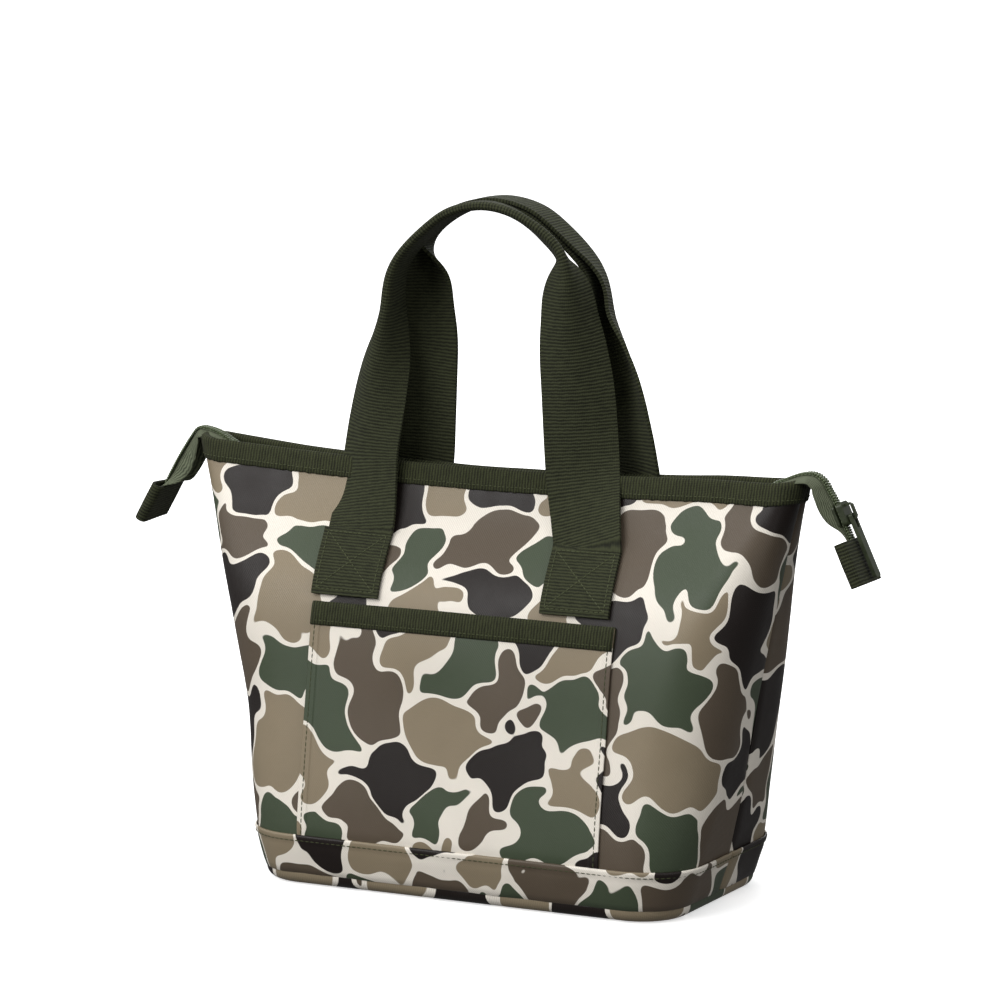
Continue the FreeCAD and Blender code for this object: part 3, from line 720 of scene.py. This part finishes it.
def make_coil(face, hand, materials):
    """Half of one row of the coil: a nylon loop at every second station, and the seam that holds it down."""
    side = FACES[face]
    line = zip_line(hand, COIL_PITCH / 2)
    nearest = min(range(len(line)), key=lambda index: (line[index][0] - tail_point(hand, 0)).length)
    last = nearest + int(35 / (COIL_PITCH / 2))
    blocks = []
    for place, along, up, _, _ in line[(0 if side > 0 else 1):last:2]:
        centre = place + up * COIL_LIFT + Vector((0, side * 1.4, 0))
        blocks.append(rounded_block((1.2, 0.70, 0.72), centre, (Vector((0, side, 0)), along, up)))
    path = [(place + up * 0.35 + Vector((0, side * 3.1, 0)), up) for place, _, up, _, _ in line[:last]]
    blocks += thread_run(path, 2.0, 1.8, 0.3)
    piece = join_blocks(f"zip_coil_row_{face}_{hand}", blocks)
    nodes = [f"zip_coil_{face}_{hand}_tail"] + ([f"zip_coil_{face}"] if hand == "left" else [])
    finish_piece(piece, None, "zip_coil", materials["coil"], *nodes)
    blend_tail(piece)


# Where a tab starts and ends along its tail, half its width, and how far its middle lies towards the back.
TAB = {"left": (33.6, 55.8, 13.6, 0.2), "right": (34.4, 57.4, 14.6, -2.8)}


def make_tab(hand, materials):
    """The webbing wrapped round a tail's end: folded at the front edge, with its two ends at the back."""
    start, end, half, shift = TAB[hand]
    bulge = 2.4
    section = [(y, 1.1 + (bulge - 1.1) * smooth(-y, -half, half)) for y in steps(half, bulge - half, 11)]
    for turn in steps(0.3, math.pi - 0.3, 7):
        section.append((bulge - half - bulge * math.sin(turn), bulge * math.cos(turn)))
    section += [(y, -lift) for y, lift in section[10::-1]]
    rows, uv_rows = [], []
    for reach in steps(start, end, 13):
        slim = 1 - 0.05 * abs(reach - (start + end) / 2) / 10
        rows.append([tail_point(hand, reach, lift * slim + 0.2) + Vector((0, y + shift, 0))
                     for y, lift in section])
        run, uv_row = 0.0, []
        for index, corner in enumerate(section):
            run += math.dist(corner, section[max(index - 1, 0)])
            uv_row.append((run, reach))
        uv_rows.append(uv_row)
    piece = make_grid(f"zip_end_tab_{hand}", rows, uv_rows, "Weave")
    thicken(piece, 1.5, 0.0)
    soften(piece, 0.4)
    finish_piece(piece, f"zip_tail_{hand}", "webbing", materials["webbing"], f"zip_tab_{hand}")


def make_facing(face, materials):
    """The strip from the zip tape down the inside of the mouth."""
    side = FACES[face]
    profile = ((-0.6, 0.6), (0, 0.9), (0.3, 3))
    rows, uv_rows = [], []
    for x in steps(-148, 148, 75):
        rim = wall(face, x, RIM_TOP)
        half = max(abs(rim.y) - 4.4, TAPE_INNER + 1.2)
        rows.append([Vector((x, side * (half + out), rim.z - (ZIP_RECESS + down))) for out, down in profile])
        uv_rows.append([(x, down) for down in (0, 2, 5)])
    piece = make_grid(f"zip_facing_strip_{face}", rows, uv_rows, "Weave")
    thicken(piece, 0.3, 0.0)
    finish_piece(piece, "bag", "liner", materials["liner"], f"zip_facing_{face}")


# ----------------------------------------------------------------------------------------------- thread


def thread_run(path, pitch, length, radius):
    """Dashes of thread along a path of points and outward normals."""
    blocks, carried = [], pitch / 2
    for (start, normal), (end, _) in zip(path, path[1:]):
        span = (end - start).length
        if span < 1e-6:
            continue
        along = (end - start) / span
        sideways = along.cross(normal).normalized()
        while carried <= span:
            centre = start + along * carried
            size = (length / 2, radius, radius)
            rings = ((-1, 0.35), (-0.7, 0.9), (0, 1.1), (0.7, 0.9), (1, 0.35))
            blocks.append(rounded_block(size, centre, (along, sideways, normal), rings, 6))
            carried += pitch
        carried -= span
    return blocks


def make_stitching(materials):
    for face in FACES:
        half = half_girth(RIM_TOP) - 2
        path = [(rim_point(face, along, BINDING_HEIGHT - 3.4, 1.2), wall_normal(face, along, RIM_TOP - 8))
                for along in steps(-half, half, 180)]
        blocks = thread_run(path, 2.4, 1.7, 0.24)
        half = half_girth(SEAM) - 2
        path = [(on_wall(face, along, SEAM - 2.9, BAND_OUT + 0.5), wall_normal(face, along, SEAM))
                for along in steps(-half, half, 180)]
        blocks += thread_run(path, 3.0, 2.3, 0.24)
        finish_piece(join_blocks(f"seam_thread_{face}", blocks), "bag", "thread", materials["thread"])
    edge = POCKET_HALF - 2.4
    path = [(on_pocket(x, POCKET_TOP - 9.2, 1.12), wall_normal("front", x, 140))
            for x in steps(-edge, edge, 90)]
    blocks = thread_run(path, 2.4, 1.7, 0.24)
    for x in (-edge, edge):
        path = [(on_pocket(x, height, 0.05), wall_normal("front", x, height))
                for height in steps(SEAM, POCKET_TOP - 11, 60)]
        blocks += thread_run(path, 3.0, 2.3, 0.24)
    finish_piece(join_blocks("pocket_thread", blocks), "bag", "thread", materials["thread"])


def make_strap_stitching(face, materials):
    """A boxed cross through each sewn end of a handle."""
    half = STRAP_WIDTH / 2 - 2.6
    low, high = SEWN_FOOT + 2.6, SEWN_TOP - 1.4
    corners = ((-half, low), (half, low), (half, high), (-half, high))
    lines = [(corners[i], corners[(i + 1) % 4]) for i in range(4)]
    lines += [(corners[0], corners[2]), (corners[1], corners[3])]
    blocks = []
    for hand in HANDS.values():
        for (x0, z0), (x1, z1) in lines:
            path = []
            for share in steps(0, 1, 14):
                across, height = x0 + (x1 - x0) * share, z0 + (z1 - z0) * share
                point = sewn_point(face, hand, across, height, 1.05 + STRAP_THICK)
                path.append((point, wall_normal(face, point.x, height)))
            blocks += thread_run(path, 2.7, 2.1, 0.3)
    piece = join_blocks(f"strap_thread_{face}", blocks)
    finish_piece(piece, "bag", "thread", materials["thread"], f"handle_stitching_{face}")


# -------------------------------------------------------------------------------------------- materials


def linear(code):
    """A colour for the shader from its usual web code."""
    parts = [int(code[i:i + 2], 16) / 255 for i in (0, 2, 4)]
    return tuple(c / 12.92 if c <= 0.04045 else ((c + 0.055) / 1.055) ** 2.4 for c in parts) + (1.0,)


def new_material(name, roughness, sheen=0.0, metallic=0.0, coat=0.0, gloss=0.5):
    material = bpy.data.materials.new(name)
    material.use_nodes = True
    shader = material.node_tree.nodes["Principled BSDF"]
    shader.inputs["Roughness"].default_value = roughness
    shader.inputs["Metallic"].default_value = metallic
    shader.inputs["Sheen Weight"].default_value = sheen
    shader.inputs["Coat Weight"].default_value = coat
    shader.inputs["Specular IOR Level"].default_value = gloss
    return material, material.node_tree, shader


def node(tree, kind, settings=None, **inputs):
    """Adds a node, with its settings, and its inputs as values or links."""
    made = tree.nodes.new(kind)
    for key, value in (settings or {}).items():
        setattr(made, key, value)
    for key, value in inputs.items():
        socket = made.inputs[int(key[1:])] if key[0] == "_" else made.inputs[key.replace("_", " ")]
        if isinstance(value, bpy.types.NodeSocket):
            tree.links.new(value, socket)
        else:
            socket.default_value = value
    return made


def maths(tree, operation, first, second=0.0):
    return node(tree, "ShaderNodeMath", {"operation": operation}, _0=first, _1=second).outputs[0]


def vector(tree, operation, first, second=(0.0, 0.0, 0.0)):
    return node(tree, "ShaderNodeVectorMath", {"operation": operation}, _0=first, _1=second).outputs[0]


def mapped(tree, value, low, high, to_low, to_high):
    return node(tree, "ShaderNodeMapRange", None, Value=value, From_Min=low, From_Max=high,
                To_Min=to_low, To_Max=to_high).outputs[0]


def mix(tree, factor, first, second, blend="MIX"):
    settings = {"data_type": "RGBA", "blend_type": blend}
    return node(tree, "ShaderNodeMix", settings, _0=factor, _6=first, _7=second).outputs[2]


def map_place(tree, name):
    return node(tree, "ShaderNodeUVMap", {"uv_map": name}).outputs[0]


def noise_at(tree, place, scale, detail=2.0):
    return node(tree, "ShaderNodeTexNoise", None, Vector=place, Scale=scale, Detail=detail)


def waves(tree, value, pitch, phase=0.0):
    """A wave from 0 to 1 along a length in metres."""
    turns = maths(tree, "MULTIPLY_ADD", value, 2 * math.pi / pitch)
    turns.node.inputs[2].default_value = phase
    return maths(tree, "MULTIPLY_ADD", maths(tree, "SINE", turns), 0.5).node.outputs[0]


def bump(tree, shader, height, strength, distance):
    made = node(tree, "ShaderNodeBump", None, Strength=strength, Distance=distance, Height=height)
    tree.links.new(made.outputs[0], shader.inputs["Normal"])


PRINT_COLOURS = ("1c1512", "584d40", "887b65", "414b39")
PRINT_GROUND = "e9e2d6"
PRINT_CELL = 0.036
PRINT_LINE = 0.061
PRINT_ROUND = 0.75
PRINT_LOBES = ((17.0, 0.024), (56.0, 0.027))


def warped(tree, place, scale, amount):
    """A place moved about by smooth noise, which turns straight outlines into wavy ones."""
    shift = vector(tree, "SUBTRACT", noise_at(tree, place, scale, 0.0).outputs["Color"], (0.5, 0.5, 0.5))
    return vector(tree, "ADD", place, vector(tree, "MULTIPLY", shift, (amount, amount, amount)))


def cells(tree, place, feature):
    """Scattered points of the print. The settings match, so every feature sees the same points."""
    return node(tree, "ShaderNodeTexVoronoi", {"voronoi_dimensions": "2D", "feature": feature},
                Vector=place, Scale=1 / PRINT_CELL, Randomness=0.85)


def print_colour(tree, place):
    """Rounded, lobed blobs in four colours on a pale ground. A blob's colour differs from its neighbours'."""
    for scale, amount in PRINT_LOBES:
        place = warped(tree, place, scale, amount)
    nearest = cells(tree, place, "F1")
    rounded = cells(tree, place, "SMOOTH_F1")
    rounded.inputs["Smoothness"].default_value = PRINT_ROUND
    crowding = maths(tree, "SUBTRACT", nearest.outputs["Distance"], rounded.outputs["Distance"])
    point = vector(tree, "MULTIPLY", nearest.outputs["Position"], (0.5 / PRINT_CELL, 0.5 / PRINT_CELL, 0.0))
    split = node(tree, "ShaderNodeSeparateXYZ", None, Vector=vector(tree, "FRACTION", point))
    odd_column = maths(tree, "GREATER_THAN", split.outputs[0], 0.5)
    odd_row = maths(tree, "GREATER_THAN", split.outputs[1], 0.5)
    colours = [linear(code) for code in PRINT_COLOURS]
    even = mix(tree, odd_column, colours[0], colours[2])
    odd = mix(tree, odd_column, colours[1], colours[3])
    blobs = mix(tree, odd_row, even, odd)
    ground = mapped(tree, crowding, PRINT_LINE - 0.002, PRINT_LINE + 0.002, 0.0, 1.0)
    return mix(tree, ground, blobs, linear(PRINT_GROUND))


def print_material():
    """Coated twill, printed."""
    material, tree, shader = new_material("printed_fabric", 0.45, gloss=0.3)
    place = map_place(tree, "Print")
    split = node(tree, "ShaderNodeSeparateXYZ", None, Vector=place)
    diagonal = maths(tree, "ADD", split.outputs[0], maths(tree, "MULTIPLY", split.outputs[1], 0.8))
    twill = waves(tree, diagonal, 0.0013)
    threads = waves(tree, maths(tree, "SUBTRACT", split.outputs[0], split.outputs[1]), 0.0011)
    grain = maths(tree, "MULTIPLY_ADD", threads, 0.5)
    tree.links.new(twill, grain.node.inputs[2])
    cloud = noise_at(tree, place, 60.0, 3.0).outputs["Fac"]
    shade = mapped(tree, maths(tree, "ADD", grain, cloud), 0.3, 2.0, 0.86, 1.08)
    tint = node(tree, "ShaderNodeCombineColor", None, Red=shade, Green=shade, Blue=shade).outputs[0]
    tree.links.new(mix(tree, 1.0, print_colour(tree, place), tint, "MULTIPLY"), shader.inputs["Base Color"])
    tree.links.new(mapped(tree, cloud, 0.3, 0.7, 0.38, 0.50), shader.inputs["Roughness"])
    bump(tree, shader, grain, 0.4, 0.00015)
    return material


def ribbed_material(name, code, pitch, cross_pitch, along_first, depth, light=1.35):
    """Ribbed tape or webbing. The ribs cross the map's first axis, or its second. Their colour holds painted
    light: the grooves are painted in shade at a quarter of the base colour, and the crests get a painted
    highlight of light times the base colour. Cloudy noise adds random tone.
    """
    material, tree, shader = new_material(name, 0.8, sheen=0.02, gloss=0.2)
    place = map_place(tree, "Weave")
    wobble = warped(tree, place, 500.0, 0.0006)
    split = node(tree, "ShaderNodeSeparateXYZ", None, Vector=wobble)
    first, second = (0, 1) if along_first else (1, 0)
    ribs = waves(tree, split.outputs[first], pitch)
    cross = waves(tree, split.outputs[second], cross_pitch)
    height = maths(tree, "MULTIPLY_ADD", cross, 0.3)
    tree.links.new(ribs, height.node.inputs[2])
    cloud = noise_at(tree, place, 220.0, 4.0).outputs["Fac"]
    dark, pale = linear(code), tuple(min(c * light, 1.0) for c in linear(code)[:3]) + (1.0,)
    shade = mapped(tree, maths(tree, "MULTIPLY_ADD", cloud, 0.9), 0.4, 1.6, 0.0, 1.0)
    tree.links.new(height, shade.node.inputs[0].links[0].from_node.inputs[2])
    # painted shade and highlight: the grooves between ribs are darkened to a quarter of the base colour and
    # the crests are lightened, as light falls on ribs; the noise in the mix is random tone
    painted_groove_shade = tuple(c * 0.25 for c in dark[:3]) + (1.0,)
    tree.links.new(mix(tree, shade, painted_groove_shade, pale), shader.inputs["Base Color"])
    bump(tree, shader, height, 0.9, depth)
    return material


def plain_material(name, code, roughness, metallic=0.0, coat=0.0, scale=300.0, depth=0.00005, spread=0.25):
    """A moulded, painted or spun surface, mottled a little, with fine grain."""
    material, tree, shader = new_material(name, roughness, metallic=metallic, coat=coat)
    place = node(tree, "ShaderNodeTexCoord").outputs["Object"]
    cloud = noise_at(tree, place, scale, 4.0).outputs["Fac"]
    dark = tuple(c * (1 - spread) for c in linear(code)[:3]) + (1.0,)
    pale = tuple(min(c * (1 + spread), 1.0) for c in linear(code)[:3]) + (1.0,)
    shade = mapped(tree, cloud, 0.3, 0.7, 0.0, 1.0)
    tree.links.new(mix(tree, shade, dark, pale), shader.inputs["Base Color"])
    rough = mapped(tree, cloud, 0.3, 0.7, roughness * 0.85, min(roughness * 1.15, 1.0))
    tree.links.new(rough, shader.inputs["Roughness"])
    bump(tree, shader, cloud, 0.5, depth)
    return material


def make_materials():
    return {
        "print": print_material(),
        # The last number of a ribbed material is how much paler its rib crests are painted, as a painted
        # highlight; its grooves are painted in shade.
        "webbing": ribbed_material("webbing", "2f3220", 0.0017, 0.0009, False, 0.0003, 1.5),
        "binding": ribbed_material("grosgrain", "2e311d", 0.0016, 0.0008, True, 0.0003, 1.5),
        "tape": ribbed_material("zip_tape", "5e6450", 0.0008, 0.0006, True, 0.0001, 1.35),
        "coil": plain_material("nylon_coil", "525d40", 0.35),
        "metal": plain_material("painted_metal", "353c28", 0.4, metallic=0.2, coat=0.2),
        "thread": plain_material("thread", "3d4223", 0.7, scale=2500.0),
        "foam": plain_material("foam", "dcdcd6", 0.9, scale=900.0, depth=0.0002, spread=0.05),
        "liner": plain_material("liner", "b4b8bb", 0.3, scale=80.0, depth=0.0003, spread=0.08),
    }


# ------------------------------------------------------------------------------------------------ stage


CAMERA_AZIMUTH = math.radians(27.0)
CAMERA_ELEVATION = math.radians(10.7)
CAMERA_DISTANCE = 2551.0
VIEW_CENTRE = Vector((0, 0, 110))
FRAME_RAISE = 85.1
FRAME_ASIDE = -2.5
LENS = 180.0


def make_camera():
    """The viewing angle of a product photograph: from the front right, a little above."""
    right = Vector((math.cos(CAMERA_AZIMUTH), math.sin(CAMERA_AZIMUTH), 0))
    level = Vector((math.sin(CAMERA_AZIMUTH), -math.cos(CAMERA_AZIMUTH), 0))
    back = level * math.cos(CAMERA_ELEVATION) + Vector((0, 0, math.sin(CAMERA_ELEVATION)))
    up = back.cross(right)
    data = bpy.data.cameras.new("camera")
    data.lens, data.sensor_width = LENS, 36.0
    data.clip_end = 20
    camera = bpy.data.objects.new("camera", data)
    place = (VIEW_CENTRE + back * CAMERA_DISTANCE) / METRE
    aim = (VIEW_CENTRE + right * FRAME_ASIDE + up * FRAME_RAISE) / METRE
    camera.location = place
    camera.rotation_euler = (aim - place).to_track_quat("-Z", "Y").to_euler()
    bpy.context.scene.collection.objects.link(camera)
    bpy.context.scene.camera = camera


def area_light(name, place, size, power, aim=(0, 0, 0.15)):
    data = bpy.data.lights.new(name, "AREA")
    data.energy, data.size = power, size
    light = bpy.data.objects.new(name, data)
    light.location = place
    light.rotation_euler = (Vector(aim) - Vector(place)).to_track_quat("-Z", "Y").to_euler()
    bpy.context.scene.collection.objects.link(light)


FLOOR_HALF = 15000.0
GLOW_START, GLOW_END = 0.15, 0.6
GLOW_NEAR, GLOW_FAR = 0.56, 0.98


def make_floor():
    """A white studio floor, whose far part glows so that it fades into the background."""
    signs = ((-1, -1), (1, -1), (1, 1), (-1, 1))
    points = [Vector((FLOOR_HALF * x, FLOOR_HALF * y, -0.4)) for x, y in signs]
    floor = make_mesh("studio_floor", points, [(0, 1, 2, 3)], [(p.x, p.y) for p in points], "Floor", False)
    material, tree, shader = new_material("studio_floor", 0.9, gloss=0.0)
    shader.inputs["Base Color"].default_value = (0.8, 0.8, 0.8, 1)
    shader.inputs["Emission Color"].default_value = (1, 1, 1, 1)
    away = node(tree, "ShaderNodeVectorMath", {"operation": "LENGTH"}, _0=map_place(tree, "Floor"))
    glow = mapped(tree, away.outputs["Value"], GLOW_START, GLOW_END, GLOW_NEAR, GLOW_FAR)
    tree.links.new(glow, shader.inputs["Emission Strength"])
    floor.data.materials.append(material)
    floor.visible_diffuse = False
    floor.visible_glossy = False


def make_world():
    """Soft light from above, fading to dark below."""
    world = bpy.data.worlds.new("studio")
    world.use_nodes = True
    tree = world.node_tree
    direction = node(tree, "ShaderNodeTexCoord").outputs["Generated"]
    up = node(tree, "ShaderNodeSeparateXYZ", None, Vector=direction)
    strength = mapped(tree, up.outputs[2], -0.2, 0.9, 0.16, 0.68)
    background = tree.nodes["Background"]
    background.inputs["Color"].default_value = (1, 1, 1, 1)
    tree.links.new(strength, background.inputs["Strength"])
    bpy.context.scene.world = world


# Each light's name, place in metres, size and power.
LIGHTS = (
    ("key_light", (-0.6, -1.9, 1.4), 1.5, 38),
    ("left_light", (-2.2, -0.8, 0.9), 1.2, 10),
    ("right_light", (2.2, -0.9, 0.9), 1.2, 6.5),
    ("back_light", (-0.5, 2.3, 1.0), 1.5, 14),
    ("top_light", (0.2, 0.3, 2.2), 0.9, 14),
)


def make_stage():
    make_floor()
    make_world()
    for light in LIGHTS:
        area_light(*light)
    bpy.context.scene.view_settings.view_transform = "Standard"


def keep_cad_node(name, material):
    """A CAD node whose shape is right keeps it, with a better material."""
    piece = frame["nodes"][name]
    piece.data.materials.clear()
    piece.data.materials.append(material)


def main():
    make_camera()
    make_stage()
    materials = make_materials()
    make_walls(materials)
    make_base(materials)
    make_pocket(materials)
    for face in FACES:
        make_band(face, materials)
        make_top_binding(face, materials)
        make_handle(face, materials)
        make_strap_stitching(face, materials)
        make_facing(face, materials)
        for hand in HANDS:
            make_tape(face, hand, materials)
            make_coil(face, hand, materials)
    for hand in HANDS:
        make_tab(hand, materials)
    make_stitching(materials)
    for name in ("zip_slider", "zip_pull"):
        keep_cad_node(name, materials["metal"])


main()
